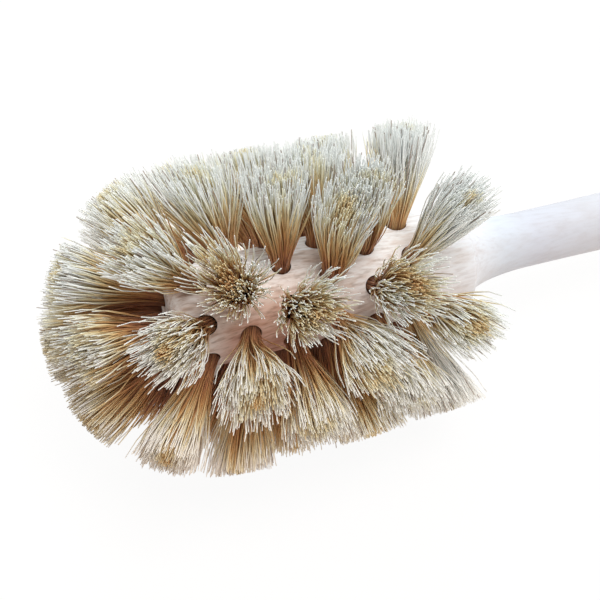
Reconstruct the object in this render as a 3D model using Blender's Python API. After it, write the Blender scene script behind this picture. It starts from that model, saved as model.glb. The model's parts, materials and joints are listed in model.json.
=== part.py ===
"""Round bottle brush: a turned beech body, drilled all round its head and in its nose, with a
tuft of natural bristle set in every hole.

Metres, +Z up. The brush is built along its own axis, nose toward -X and handle toward +X,
with its zero in the first ring of holes. An empty then lays it down on the tufts of its last
ring and on the end of its grip, and centres it over the world's origin.
"""
import math
import random

import bmesh
import bpy
from mathutils import Euler, Matrix, Vector
from mathutils.geometry import delaunay_2d_cdt

# Head
HEAD_DIAMETER = 0.028
NOSE_OVERHANG = 0.0070
NOSE_ROUNDING = 0.005
RING_PITCH = 0.0115
SHOULDER_OVERHANG = 0.0180
SHOULDER_ROUNDING = 0.0012

# Handle
COVE_LENGTH = 0.0205
NECK_DIAMETER = 0.0158
SWELL_LENGTH = 0.148
GRIP_DIAMETER = 0.021
GRIP_LENGTH = 0.100
BUTT_DIAMETER = 0.0195
BUTT_ROUNDING = 0.0055

# Holes
HOLE_DIAMETER = 0.0054
HOLE_WALL = 0.0015
NOSE_HOLE_DEPTH = 0.004
NOSE_HOLE_WALL = 0.00035
TUFTS_PER_RING = 8
NOSE_TUFTS = 5
CUT_OVERRUN = 0.004

# Lean of each ring of tufts toward the handle, first ring first, and of the nose tufts
RING_LEAN_DEGREES = (-34.0, -18.0, -3.0, 5.0, 3.0, 10.0)
NOSE_LEAN_DEGREES = 26.0
NOSE_TURN_DEGREES = 4.5
SCATTER_DEGREES = 2.4
SCATTER_SEED = 7

# Tufts
TRIM_DIAMETER = 0.0812
TRIM_CENTRE_SETBACK = 0.0021
TUFT_TIP_DIAMETER = 0.0168
TUFT_CLEARANCE = 0.0003
TUFT_COLLAR = 0.0032
TUFT_TOP_RECESS = 0.0004
ROOT_MARGIN = 0.00015
ROOT_WIDTH = 0.00105
TIP_WIDTH = 0.0036
OUTER_STRANDS = 7
STRAND_SIDES = 3
PLUG_SIDES = 8

# Rest
REST_FLAT_DEPTH = 0.0005

# Facets
BODY_SIDES = 48
HOLE_SIDES = 12
ROUNDING_STEPS = 5
COVE_STEPS = 8
SWELL_STEPS = 8
GRIP_STEPS = 5
WELD_DISTANCE = 0.000001

# Finishes: colour, roughness
BEECH_FINISH = ((0.80, 0.62, 0.48, 1.0), 0.55)
BRISTLE_FINISH = ((0.62, 0.50, 0.32, 1.0), 0.60)

# Worked out from the sizes above
HEAD_RADIUS = HEAD_DIAMETER / 2
NECK_RADIUS = NECK_DIAMETER / 2
GRIP_RADIUS = GRIP_DIAMETER / 2
BUTT_RADIUS = BUTT_DIAMETER / 2
TRIM_RADIUS = TRIM_DIAMETER / 2
HOLE_RADIUS = HOLE_DIAMETER / 2
PLUG_RADIUS = HOLE_RADIUS - TUFT_CLEARANCE
ROOT_RING_RADIUS = PLUG_RADIUS * math.cos(math.pi / PLUG_SIDES) - ROOT_MARGIN - ROOT_WIDTH / 2
RING_COUNT = len(RING_LEAN_DEGREES)
LAST_RING_X = (RING_COUNT - 1) * RING_PITCH
SHOULDER_X = LAST_RING_X + SHOULDER_OVERHANG
NECK_X = SHOULDER_X + COVE_LENGTH
GRIP_X = NECK_X + SWELL_LENGTH
BUTT_X = GRIP_X + GRIP_LENGTH

# The holes go as deep as the least wood between their bottoms allows
HOLE_DEPTH = HEAD_RADIUS - (HOLE_DIAMETER + HOLE_WALL) / (2 * math.sin(math.pi / TUFTS_PER_RING))
NOSE_LEAN = math.radians(NOSE_LEAN_DEGREES)
NOSE_RING_RADIUS = HOLE_DIAMETER + NOSE_HOLE_WALL + NOSE_HOLE_DEPTH * math.sin(NOSE_LEAN)


def arc(centre_x, centre_r, radius, start, end, steps):
    """Points of an arc in the (x, r) plane; an angle of 0 points to +X and 90 away from the axis."""
    points = []
    for step in range(steps + 1):
        angle = math.radians(start + (end - start) * step / steps)
        points.append((centre_x + radius * math.cos(angle), centre_r + radius * math.sin(angle)))
    return points


def ease(x_start, r_start, x_end, r_end, steps):
    """Points of a soft S from one radius to another, level at both ends, without its first point."""
    points = []
    for step in range(1, steps + 1):
        share = step / steps
        lift = (1 - math.cos(math.pi * share)) / 2
        points.append((x_start + (x_end - x_start) * share, r_start + (r_end - r_start) * lift))
    return points


def body_profile():
    """Half outline of the turned body, from the middle of the nose to the middle of the butt."""
    nose_x = -NOSE_OVERHANG
    outline = [(nose_x, 0.0)]
    outline += arc(nose_x + NOSE_ROUNDING, HEAD_RADIUS - NOSE_ROUNDING, NOSE_ROUNDING,
                   180, 90, ROUNDING_STEPS)
    for ring in range(RING_COUNT - 1):
        outline.append(((ring + 0.5) * RING_PITCH, HEAD_RADIUS))
    outline += arc(SHOULDER_X - SHOULDER_ROUNDING, HEAD_RADIUS - SHOULDER_ROUNDING, SHOULDER_ROUNDING,
                   90, 0, ROUNDING_STEPS)
    cove_drop = HEAD_RADIUS - SHOULDER_ROUNDING - NECK_RADIUS
    for step in range(1, COVE_STEPS + 1):
        angle = math.pi / 2 * step / COVE_STEPS
        outline.append((SHOULDER_X + COVE_LENGTH * (1 - math.cos(angle)),
                        NECK_RADIUS + cove_drop * (1 - math.sin(angle))))
    outline += ease(NECK_X, NECK_RADIUS, GRIP_X, GRIP_RADIUS, SWELL_STEPS)
    outline += ease(GRIP_X, GRIP_RADIUS, BUTT_X - BUTT_ROUNDING, BUTT_RADIUS, GRIP_STEPS)
    outline += arc(BUTT_X - BUTT_ROUNDING, BUTT_RADIUS - BUTT_ROUNDING, BUTT_ROUNDING,
                   90, 0, ROUNDING_STEPS)[1:]
    outline.append((BUTT_X, 0.0))
    return outline


def finish(name, colour, roughness):
    """A plain Principled material of one colour."""
    material = bpy.data.materials.new(name)
    material.use_nodes = True
    shader = material.node_tree.nodes["Principled BSDF"]
    shader.inputs["Base Color"].default_value = colour
    shader.inputs["Roughness"].default_value = roughness
    shader.inputs["Metallic"].default_value = 0.0
    return material


def add_object(name, bm, material, parent):
    """Link a bmesh as an object under its parent, smooth where it is round."""
    mesh = bpy.data.meshes.new(name)
    bm.to_mesh(mesh)
    bm.free()
    mesh.shade_smooth()
    mesh.set_sharp_from_angle(angle=math.radians(35))
    mesh.materials.append(material)
    piece = bpy.data.objects.new(name, mesh)
    piece.parent = parent
    bpy.context.scene.collection.objects.link(piece)
    return piece


def nose_x_at(radius):
    """Where the nose's face is at a distance from the axis: on its flat or on its rounding."""
    past_flat = max(0.0, radius - (HEAD_RADIUS - NOSE_ROUNDING))
    return -NOSE_OVERHANG + NOSE_ROUNDING - math.sqrt(NOSE_ROUNDING * NOSE_ROUNDING - past_flat * past_flat)


def mouth_frames():
    """Name, hole depth and frame of every tuft: its place on the wood, with +Z out of the hole."""
    scatter = random.Random(SCATTER_SEED)
    frames = []
    for ring, lean in enumerate(RING_LEAN_DEGREES):
        turn_of_ring = 0.0 if ring % 2 == 0 else 0.5
        for tuft in range(TUFTS_PER_RING):
            around = 2 * math.pi * (tuft + turn_of_ring) / TUFTS_PER_RING
            tip = math.radians(lean + scatter.uniform(-SCATTER_DEGREES, SCATTER_DEGREES))
            sway = math.radians(scatter.uniform(-SCATTER_DEGREES, SCATTER_DEGREES))
            frame = (Matrix.Rotation(around, 4, "X")
                     @ Matrix.Translation((ring * RING_PITCH, 0.0, -HEAD_RADIUS))
                     @ Matrix.Rotation(sway, 4, "X")
                     @ Matrix.Rotation(math.pi - tip, 4, "Y"))
            frames.append((f"ring_{ring + 1}_tuft_{tuft + 1}", HOLE_DEPTH, frame))
    for tuft in range(NOSE_TUFTS):
        around = 2 * math.pi * tuft / NOSE_TUFTS + math.radians(NOSE_TURN_DEGREES)
        frame = (Matrix.Rotation(around, 4, "X")
                 @ Matrix.Translation((nose_x_at(NOSE_RING_RADIUS), 0.0, -NOSE_RING_RADIUS))
                 @ Matrix.Rotation(math.radians(-90) - NOSE_LEAN, 4, "Y"))
        frames.append((f"nose_tuft_{tuft + 1}", NOSE_HOLE_DEPTH, frame))
    centre = Matrix.Translation((-NOSE_OVERHANG, 0.0, 0.0)) @ Matrix.Rotation(math.radians(-90), 4, "Y")
    frames.append(("nose_tuft_centre", NOSE_HOLE_DEPTH, centre))
    return frames


def rest_line():
    """Slope of the ground under the brush, and the axis's height over it at the first ring.

    The ground touches the trimmed tips of the last ring and the round of the butt.
    """
    half_pitch = math.pi / TUFTS_PER_RING
    half_tuft = math.asin(TUFT_TIP_DIAMETER / 2 / TRIM_RADIUS)
    lowest = TRIM_RADIUS * math.cos(max(0.0, half_pitch - half_tuft)) - REST_FLAT_DEPTH
    bristle_length = TRIM_RADIUS - HEAD_RADIUS
    tip_x = LAST_RING_X + bristle_length * math.tan(math.radians(RING_LEAN_DEGREES[-1]))
    rise = lowest - (BUTT_RADIUS - BUTT_ROUNDING)
    run = BUTT_X - BUTT_ROUNDING - tip_x
    slope = math.atan2(rise, run) - math.asin(BUTT_ROUNDING / math.hypot(rise, run))
    height = lowest * math.cos(slope) + tip_x * math.sin(slope)
    return slope, height


def leave_round(start, way):
    """How far a line runs before it leaves the trimming radius round zero."""
    speed = way.length_squared
    if speed == 0.0:
        return math.inf
    half = start.dot(way)
    reach = half * half - speed * (start.length_squared - TRIM_RADIUS * TRIM_RADIUS)
    return (-half + math.sqrt(reach)) / speed


def trim_length(origin, direction, slope, height):
    """How far a strand's edge runs before it meets the trimmed outline or the ground."""
    flat_start = Vector((0.0, origin.y, origin.z))
    flat_way = Vector((0.0, direction.y, direction.z))
    length = leave_round(flat_start, flat_way)
    if direction.x < 0 and origin.x + direction.x * length < TRIM_CENTRE_SETBACK:
        length = leave_round(origin - Vector((TRIM_CENTRE_SETBACK, 0.0, 0.0)), direction)
    down = Vector((math.sin(slope), 0.0, -math.cos(slope)))
    fall = direction.dot(down)
    if fall > 0:
        to_ground = (height - origin.dot(down)) / fall
        length = min(length, to_ground)
    return length


def strand_places():
    """Each strand's place on the plug and at the tips, as a way out from the middle of the tuft."""
    places = [(Vector((0.0, 0.0)), 0.0)]
    for strand in range(OUTER_STRANDS):
        angle = 2 * math.pi * strand / OUTER_STRANDS
        places.append((Vector((math.cos(angle), math.sin(angle))), angle))
    return places


def corner_ring(centre, radius, turn, sides):
    """Corners of a regular polygon round a point."""
    corners = []
    for side in range(sides):
        angle = turn + 2 * math.pi * side / sides
        corners.append(centre + Vector((math.cos(angle), math.sin(angle))) * radius)
    return corners


def tuft_mesh(frame, depth, slope, height):
    """A tuft in its own frame: the plug that fills the hole, and the strands that flare from it."""
    places = strand_places()
    outline = corner_ring(Vector((0.0, 0.0)), PLUG_RADIUS, 0.0, PLUG_SIDES)
    polygons = [list(range(PLUG_SIDES))]
    for way, turn in places:
        first = len(outline)
        outline += corner_ring(way * ROOT_RING_RADIUS, ROOT_WIDTH / 2, turn, STRAND_SIDES)
        polygons.append(list(range(first, first + STRAND_SIDES)))
    verts, _, faces, _, _, sources = delaunay_2d_cdt(outline, [], polygons, 1, WELD_DISTANCE)
    bm = bmesh.new()
    top = [bm.verts.new((v.x, v.y, -TUFT_TOP_RECESS)) for v in verts]
    roots = {}
    for face, source in zip(faces, sources):
        made = bm.faces.new([top[index] for index in face])
        strand = max(source)
        if strand > 0:
            roots[strand - 1] = made
    rim = [edge for edge in bm.edges if edge.is_boundary]
    walls = bmesh.ops.extrude_edge_only(bm, edges=rim)["geom"]
    low = [item for item in walls if isinstance(item, bmesh.types.BMVert)]
    for vert in low:
        vert.co.z = TUFT_CLEARANCE - depth
    low_edges = [edge for edge in bm.edges if edge.is_boundary]
    bmesh.ops.contextual_create(bm, geom=low_edges)
    for strand, (way, turn) in enumerate(places):
        raise_strand(bm, roots[strand], way, turn, frame, slope, height)
    bmesh.ops.recalc_face_normals(bm, faces=bm.faces)
    return bm


def raise_strand(bm, root, way, turn, frame, slope, height):
    """Draw one strand up out of the plug: straight through its collar, then out to its trimmed tip."""
    collar_face = bmesh.ops.extrude_discrete_faces(bm, faces=[root])["faces"][0]
    for vert in collar_face.verts:
        vert.co.z = TUFT_COLLAR
    collar = [vert.co.copy() for vert in collar_face.verts]
    tip_face = bmesh.ops.extrude_discrete_faces(bm, faces=[collar_face])["faces"][0]
    free_length = TRIM_RADIUS - HEAD_RADIUS - TUFT_COLLAR
    root_centre = way * ROOT_RING_RADIUS
    tip_centre = way * (TUFT_TIP_DIAMETER - TIP_WIDTH) / 2
    spread = TIP_WIDTH / ROOT_WIDTH
    turn_out = frame.to_3x3()
    for vert, start in zip(tip_face.verts, collar):
        offset = Vector((start.x, start.y)) - root_centre
        aim = tip_centre + offset * spread
        direction = Vector((aim.x - start.x, aim.y - start.y, free_length)).normalized()
        reach = trim_length(frame @ start, turn_out @ direction, slope, height)
        vert.co = start + direction * reach


def body_mesh():
    """The turned body, spun about its axis, with a line of corners along its underside."""
    bm = bmesh.new()
    corners = [bm.verts.new((x, 0.0, -r)) for x, r in body_profile()]
    line = [bm.edges.new(pair) for pair in zip(corners, corners[1:])]
    bmesh.ops.spin(bm, geom=corners + line, cent=(0.0, 0.0, 0.0), axis=(1.0, 0.0, 0.0),
                   angle=2 * math.pi, steps=BODY_SIDES, use_merge=True, use_duplicate=False)
    bmesh.ops.remove_doubles(bm, verts=bm.verts, dist=WELD_DISTANCE)
    bmesh.ops.recalc_face_normals(bm, faces=bm.faces)
    return bm


def hole_cutter(frames, parent):
    """One wire object that holds a round cutter for every hole."""
    bm = bmesh.new()
    for _, depth, frame in frames:
        span = depth + CUT_OVERRUN
        place = frame @ Matrix.Translation((0.0, 0.0, span / 2 - depth))
        bmesh.ops.create_cone(bm, cap_ends=True, segments=HOLE_SIDES, radius1=HOLE_RADIUS,
                              radius2=HOLE_RADIUS, depth=span, matrix=place)
    mesh = bpy.data.meshes.new("tuft_holes")
    bm.to_mesh(mesh)
    bm.free()
    cutter = bpy.data.objects.new("tuft_holes", mesh)
    cutter.parent = parent
    cutter.hide_render = True
    cutter.display_type = "WIRE"
    bpy.context.scene.collection.objects.link(cutter)
    return cutter


def add_body(frames, material, parent):
    """The beech body with its blind holes."""
    body = add_object("brush_body", body_mesh(), material, parent)
    drill = body.modifiers.new("tuft_holes", "BOOLEAN")
    drill.operation = "DIFFERENCE"
    drill.solver = "EXACT"
    drill.object = hole_cutter(frames, parent)
    return body


def add_tuft(name, depth, frame, slope, height, material, parent):
    """One tuft, set in its hole."""
    tuft = add_object(name, tuft_mesh(frame, depth, slope, height), material, parent)
    tuft.location = frame.to_translation()
    tuft.rotation_mode = "QUATERNION"
    tuft.rotation_quaternion = frame.to_quaternion()
    return tuft


def centre_over_origin(lay, pieces):
    """Shift the laid brush so that the middle of its outer box stands over the origin."""
    bpy.context.view_layer.update()
    corners = [piece.matrix_world @ vert.co for piece in pieces for vert in piece.data.vertices]
    lay.location.x -= (min(c.x for c in corners) + max(c.x for c in corners)) / 2
    lay.location.y -= (min(c.y for c in corners) + max(c.y for c in corners)) / 2


def main():
    """Build the brush."""
    for leftover in list(bpy.data.objects):
        bpy.data.objects.remove(leftover, do_unlink=True)
    beech = finish("turned_beech", *BEECH_FINISH)
    bristle = finish("natural_bristle", *BRISTLE_FINISH)
    slope, height = rest_line()
    lay = bpy.data.objects.new("brush_laid_down", None)
    lay.location = (0.0, 0.0, height)
    lay.rotation_euler = Euler((0.0, slope, 0.0))
    bpy.context.scene.collection.objects.link(lay)
    frames = mouth_frames()
    pieces = [add_body(frames, beech, lay)]
    for name, depth, frame in frames:
        pieces.append(add_tuft(name, depth, frame, slope, height, bristle, lay))
    centre_over_origin(lay, pieces)
    print(f"laid down {math.degrees(slope):.3f} degrees, first ring {height:.6f} up, "
          f"shifted {lay.location.x:.6f} along and {lay.location.y:.6f} across")


main()
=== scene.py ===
import json
import math
import random

import bpy
import numpy as np
from mathutils import Matrix, Vector


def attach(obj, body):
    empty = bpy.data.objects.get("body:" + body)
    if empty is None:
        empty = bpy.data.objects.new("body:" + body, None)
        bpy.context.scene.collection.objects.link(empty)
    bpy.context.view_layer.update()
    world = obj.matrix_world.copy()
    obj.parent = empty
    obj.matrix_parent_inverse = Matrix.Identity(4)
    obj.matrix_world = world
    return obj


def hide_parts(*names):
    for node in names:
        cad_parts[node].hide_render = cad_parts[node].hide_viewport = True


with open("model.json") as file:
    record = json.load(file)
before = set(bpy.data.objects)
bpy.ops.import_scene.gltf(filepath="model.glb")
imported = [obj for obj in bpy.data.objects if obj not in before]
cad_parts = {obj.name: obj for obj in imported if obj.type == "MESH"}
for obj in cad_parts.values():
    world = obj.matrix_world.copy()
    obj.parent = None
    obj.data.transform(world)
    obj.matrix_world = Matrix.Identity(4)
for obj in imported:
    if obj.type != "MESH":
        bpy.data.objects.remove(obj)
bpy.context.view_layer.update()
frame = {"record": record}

# Round bottle brush: a turned beech body with tufts of natural bristle set in drilled holes.
# Metres, +Z up. Pieces are made along the brush's own axis, nose toward -X and handle toward
# +X, with zero in the first ring of holes, and are then laid down as the solids lie.

# Body
HEAD_RADIUS = 0.014
NOSE_OVERHANG = 0.0070
NOSE_ROUNDING = 0.005
RING_PITCH = 0.0115
SHOULDER_OVERHANG = 0.0180
SHOULDER_ROUNDING = 0.0012
COVE_LENGTH = 0.0205
NECK_RADIUS = 0.0079
SWELL_LENGTH = 0.148
GRIP_RADIUS = 0.0105
GRIP_LENGTH = 0.100
BUTT_RADIUS = 0.00975
BUTT_ROUNDING = 0.0055

# Holes: each is cut as deep as a nose hole, because bristles hide all below that
HOLE_RADIUS = 0.0027
HOLE_DEPTH = 0.004
CUT_OVERRUN = 0.004
NOSE_HOLE_WALL = 0.00035
TUFTS_PER_RING = 8
NOSE_TUFTS = 5

# Every second ring is turned by this share of the way from tuft to tuft
RING_TURN = 0.5

# Lean of each ring of tufts toward the handle, first ring first, and of the nose tufts
RING_LEAN_DEGREES = (-34.0, -18.0, -3.0, 5.0, 3.0, 10.0)
NOSE_LEAN_DEGREES = 26.0
NOSE_TURN_DEGREES = 4.5
SCATTER_DEGREES = 2.4
SCATTER_SEED = 7

# The round that the tips are trimmed to
TRIM_RADIUS = 0.0406
TRIM_CENTRE_SETBACK = 0.0021

# Facets of the body
BODY_SIDES = 144
HOLE_SIDES = 28
ROUNDING_STEPS = 10
COVE_STEPS = 18
SWELL_STEPS = 22
GRIP_STEPS = 12
WELD_DISTANCE = 0.000001
SHARP_DEGREES = 32.0

# Bristles of one tuft
BRISTLES = 450
BRISTLE_RADIUS = 0.00017
BRISTLE_SIDES = 3
BRISTLE_POINTS = 7
BRISTLE_SINK = 0.0024
TIP_GIRTH = 0.80
MIDDLE_GIRTH = 0.25
ROOT_CLEARANCE = 0.00035
GOLDEN_ANGLE = math.pi * (3 - math.sqrt(5))
SEEDS_PER_TUFT = 100
FLOOR_CLEARANCE = 0.0002

# How a tuft fans out: the radius of its tips, and how its bristles stray and gather
FAN_RADIUS = 0.0076
CORE_POWER = 1.15
NECK_SHARE = 0.07
FAN_WANDER = 0.16
FAN_DRIFT = 0.45
DRIFT_SCALE = 1.4
NOISE_STRIDE = 7.31
NOISE_MIDDLE = 0.5
BOW = 0.0011
CLUMP_SHARE = 0.72
CLUMPS_ACROSS = 3.5
STRAY_SHARE = 0.025
TRIM_UNEVENNESS = 0.0009
TRIM_STEPS = 3
LEAST_SLOPE = 0.4
SHORT_SHARE = 0.08

# What differs by chance from bristle to bristle: the number of its draw, the least and the most
CHANCES = {
    "turn": (1, -0.2, 0.2), "wander x": (2, -1.0, 1.0), "wander y": (3, -1.0, 1.0),
    "strays": (4, 0.0, 1.0), "how far astray": (5, 0.2, 0.7), "trim": (6, -1.6, 0.7),
    "short": (7, 0.0, 1.0), "how short": (8, 0.05, 0.3), "bow x": (9, -1.0, 1.0),
    "bow y": (10, -1.0, 1.0), "girth": (11, 0.75, 1.2), "paleness": (12, 0.15, 0.85),
    "kind": (13, 0.0, 1.0), "roll": (14, 0.0, math.pi)}

# How pale a tuft's bristles are, from tuft to tuft and within one
PALE_RIM = 0.60
GOLDEN_SHARE = 0.73
TONE_SPREAD = 0.15
# Painted light on tufts that point over the upper back, and browner painted shade on tufts that
# point down
PAINTED_LIGHT_BACK = 0.14
PAINTED_SHADE_BELOW = 0.78
PATCH_SCALE = 1.1
PATCH_DETAIL = 1.0
PATCH_OFFSET = (0.0, 0.0, 4.0)
PATCH_STRENGTH = 1.6

# How some tufts were bent in use, in degrees: toward the handle, and up over the back
BENT_DEGREES = {
    "ring_1_tuft_4": (0, -6), "ring_1_tuft_6": (3, 1), "ring_1_tuft_7": (-3, -6),
    "ring_1_tuft_8": (3, -3), "ring_2_tuft_3": (-2, 3), "ring_2_tuft_4": (2, 1),
    "ring_2_tuft_5": (3, -5), "ring_2_tuft_6": (4, 2), "ring_2_tuft_7": (0, -4),
    "ring_3_tuft_5": (2, 15), "ring_3_tuft_6": (-3, 7), "ring_4_tuft_3": (7, 2),
    "ring_4_tuft_4": (-3, 5), "ring_4_tuft_5": (3, 25), "ring_5_tuft_4": (-9, -3),
    "ring_5_tuft_5": (-7, 8), "ring_5_tuft_6": (-2, 6), "ring_6_tuft_3": (17, 6),
    "ring_6_tuft_4": (-2.5, 9), "ring_6_tuft_5": (13, 15), "ring_6_tuft_6": (0, 10),
    "ring_6_tuft_7": (-3, 0)}

# How far one side of a tuft was pressed out, in millimetres at its tips: toward the nose, and
# down the front; a minus sign is toward the handle, or up over the back
PRESSED_MM = {"ring_2_tuft_5": (3.4, -5.6), "ring_3_tuft_6": (-3.0, -1.5)}

# How much longer than the usual some tufts were left, in millimetres
LONGER_MM = {
    "nose_tuft_3": -0.6, "ring_1_tuft_7": 1.3, "ring_1_tuft_8": 1.0, "ring_2_tuft_3": 0.8,
    "ring_2_tuft_4": 1.0, "ring_2_tuft_7": 1.4, "ring_3_tuft_4": -1.0, "ring_3_tuft_5": -0.4,
    "ring_3_tuft_7": 1.4, "ring_3_tuft_8": 1.4, "ring_4_tuft_3": -1.2, "ring_4_tuft_4": -0.8,
    "ring_4_tuft_5": -0.8, "ring_4_tuft_7": 1.2, "ring_5_tuft_4": -1.6, "ring_6_tuft_4": -0.3,
    "ring_6_tuft_5": -1.4}

# How far a tuft's tips have spread, as a share of the usual; by chance where no share is given
OPENING_CHANCE = (0.88, 1.10)
OPENED = {
    "nose_tuft_5": 0.80, "ring_1_tuft_6": 0.92, "ring_1_tuft_7": 0.80, "ring_1_tuft_8": 0.75,
    "ring_2_tuft_3": 0.85, "ring_2_tuft_5": 1.04, "ring_2_tuft_6": 1.08, "ring_2_tuft_7": 0.85,
    "ring_3_tuft_4": 0.85, "ring_3_tuft_5": 0.85, "ring_3_tuft_6": 0.92, "ring_4_tuft_3": 0.90,
    "ring_4_tuft_4": 0.90, "ring_4_tuft_5": 0.82, "ring_5_tuft_4": 0.70, "ring_5_tuft_5": 0.75,
    "ring_5_tuft_6": 1.12, "ring_6_tuft_3": 0.65, "ring_6_tuft_4": 0.80, "ring_6_tuft_5": 0.75,
    "ring_6_tuft_6": 0.85}

# How close the middle bristles of some tufts keep together, where CORE_POWER is the usual
DENSER_CORE = {"ring_2_tuft_5": 2.0, "ring_3_tuft_6": 1.9}

# How much paler than its core a tuft's rim is, where the core shows
RIM_PALER = {
    "ring_1_tuft_6": 1.3, "ring_1_tuft_7": 1.05, "ring_1_tuft_8": 1.05, "ring_2_tuft_4": 0.5,
    "ring_2_tuft_5": 1.5, "ring_2_tuft_6": 1.7, "ring_3_tuft_5": 0.45, "ring_3_tuft_6": 1.4,
    "ring_4_tuft_6": 0.9, "ring_5_tuft_6": 1.4, "ring_6_tuft_4": 0.5, "ring_6_tuft_5": 1.0,
    "ring_6_tuft_6": 1.3}

# How far out from a tuft's middle its bristles stay golden, as a share of its radius
MORE_GOLDEN = {
    "ring_1_tuft_6": 0.80, "ring_2_tuft_5": 0.89, "ring_2_tuft_6": 0.80, "ring_3_tuft_6": 0.89,
    "ring_5_tuft_6": 0.83, "ring_6_tuft_5": 0.66, "ring_6_tuft_6": 0.80}

# How much paler a tuft is than the usual, partly its own tone and partly painted light and shade:
# painted shade darkens the nose tufts and the downward ring_1_tuft_1, painted light brightens
# three tufts of the last ring; by chance where no number is given
TUFT_TONE_AND_PAINTED_LIGHT = {
    "nose_tuft_1": -0.45, "nose_tuft_2": -0.35, "nose_tuft_3": -0.25, "nose_tuft_4": -0.40,
    "nose_tuft_5": -0.30, "nose_tuft_centre": -0.40, "ring_1_tuft_1": -0.80,
    "ring_1_tuft_5": 0.10, "ring_1_tuft_6": 0.10, "ring_2_tuft_5": 0.05, "ring_2_tuft_6": 0.15,
    "ring_3_tuft_4": 0.10, "ring_3_tuft_5": 0.08, "ring_3_tuft_6": 0.02, "ring_4_tuft_3": 0.15,
    "ring_4_tuft_5": -0.10, "ring_5_tuft_4": 0.10, "ring_6_tuft_4": 0.55, "ring_6_tuft_5": 0.65,
    "ring_6_tuft_7": 1.40}

# Marks in the wood: length along the grain, width across it, place in the noise, and detail
WOOD_MARKS = {
    "fibres": (0.011, 0.0008, 3.0, 3.0), "clouds": (0.0090, 0.0032, 1.0, 2.0),
    "bands": (0.050, 0.0024, 8.0, 4.0), "flecks": (0.0030, 0.00035, 5.0, 1.0)}
GRAIN_SLANT = (0.0, math.radians(10.0), math.radians(7.0))
FIBRE_SHADES = ((0.32, (0.52, 0.42, 0.36)), (0.46, (0.86, 0.80, 0.76)), (0.60, 1.0))
BAND_SHADES = ((0.35, (0.90, 0.84, 0.80)), (0.60, 1.0))
CLOUD_SHADES = ((0.38, (0.82, 0.70, 0.62)), (0.50, 1.0))
FLECK_SHADES = ((0.62, 0.0), (0.70, 1.0))
FLECK_STRENGTH = 0.35
FLECK_COLOUR = (0.42, 0.25, 0.16, 1.0)

# Painted shade and light on the wood, from its redder, darker lower front to its paler upper
# back: the shares that Y and Z have
WOOD_PAINTED_LIGHT_SIDE = (0.85, 0.53)
WOOD_PAINTED_LIGHT_REACH = (-0.65, 1.35)
BANDS_IN_PAINTED_LIGHT = 0.7
WOOD_PAINTED_SHADE_TO_LIGHT = (
    (0.05, (0.610, 0.310, 0.220)), (0.28, (0.700, 0.430, 0.325)), (0.50, (0.745, 0.600, 0.520)),
    (0.72, (0.850, 0.780, 0.740)), (0.92, (0.850, 0.840, 0.840)))

# The wood by metres along it: the share and colour of its painted light, a pale nose and a bluish
# glare from the last rings to the neck, with beech's own colour again at the grip, and the share
# of its grain
PAINTED_LIGHT_SHARE = (
    (-0.007, 0.90), (0.001, 0.85), (0.007, 0.15), (0.020, 0.05), (0.036, 0.70), (0.055, 0.92),
    (0.130, 0.94), (0.200, 0.85))
PAINTED_LIGHT_AND_GRIP_COLOUR = (
    (-0.007, (0.930, 0.900, 0.890)), (0.055, (0.880, 0.885, 0.890)),
    (0.075, (0.770, 0.800, 0.850)), (0.087, (0.585, 0.640, 0.715)),
    (0.098, (0.535, 0.560, 0.630)), (0.128, (0.550, 0.562, 0.600)),
    (0.190, (0.615, 0.588, 0.560)), (0.260, (0.665, 0.600, 0.535)),
    (0.350, (0.680, 0.590, 0.505)))
GRAIN_SHARE = (
    (0.020, 0.80), (0.050, 0.55), (0.085, 0.12), (0.128, 0.12), (0.190, 0.36), (0.260, 0.52))

# Painted shade inside the holes, and how rough the wood is
HOLE_PAINTED_SHADE_DEPTHS = (0.00004, 0.0007)
HOLE_PAINTED_SHADE = 0.85
HOLE_PAINTED_SHADE_COLOUR = (0.10, 0.045, 0.025, 1.0)
WOOD_ROUGHNESS = (0.62, 0.48)
FLECK_RELIEF = -0.6
BUMP_STRENGTH = 0.35
BUMP_DISTANCE = 0.00010

# A bristle from root to tip: its own paleness shifts it along these colours, less at the tip
ROOT_TO_TIP = (
    (0.00, (0.360, 0.150, 0.080)), (0.22, (0.570, 0.265, 0.130)), (0.46, (0.735, 0.430, 0.185)),
    (0.64, (0.880, 0.680, 0.375)), (0.80, (0.935, 0.880, 0.665)), (0.95, (0.980, 0.985, 0.965)))
USUAL_PALENESS = 0.5
PALENESS_SHIFT = 0.50
FADE_POWER = 4.0
FADE_SHARE = 0.65
# Painted shade where the bristles crowd in the hole
BURIED_END = 0.09
BURIED_PAINTED_SHADE = 0.75
BURIED_PAINTED_SHADE_COLOUR = (0.050, 0.020, 0.012, 1.0)
DARK_SHARE = 0.065
DARK_SHADE = 0.8
DARK_COLOUR = (0.30, 0.20, 0.15, 1.0)
BRISTLE_ROUGHNESS = 0.42
BRISTLE_SHINE = 0.30

# Painted light and shade on the bristles, tinting them from warm painted shade on the lower front
# to cool painted light over the upper back, with a little for each metre along the brush and at
# its zero, and painted shade toward the nose
BRISTLE_PAINTED_LIGHT_SIDE = (0.35, 0.95)
PAINTED_LIGHT_ALONG = (11.0, -0.30)
BRISTLE_PAINTED_LIGHT_REACH = (-1.0, 1.0)
PAINTED_LIGHT_TINT = (
    (0.02, (0.92, 0.82, 0.74)), (0.14, (0.98, 0.90, 0.825)), (0.30, (1.00, 0.965, 0.92)),
    (0.50, (1.00, 0.985, 0.96)), (0.80, (0.97, 0.995, 1.00)))
NOSE_PAINTED_SHADE_REACH = (-0.036, -0.012)
NOSE_PAINTED_SHADE = ((0.0, (0.83, 0.865, 0.90)), (1.0, 1.0))

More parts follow.
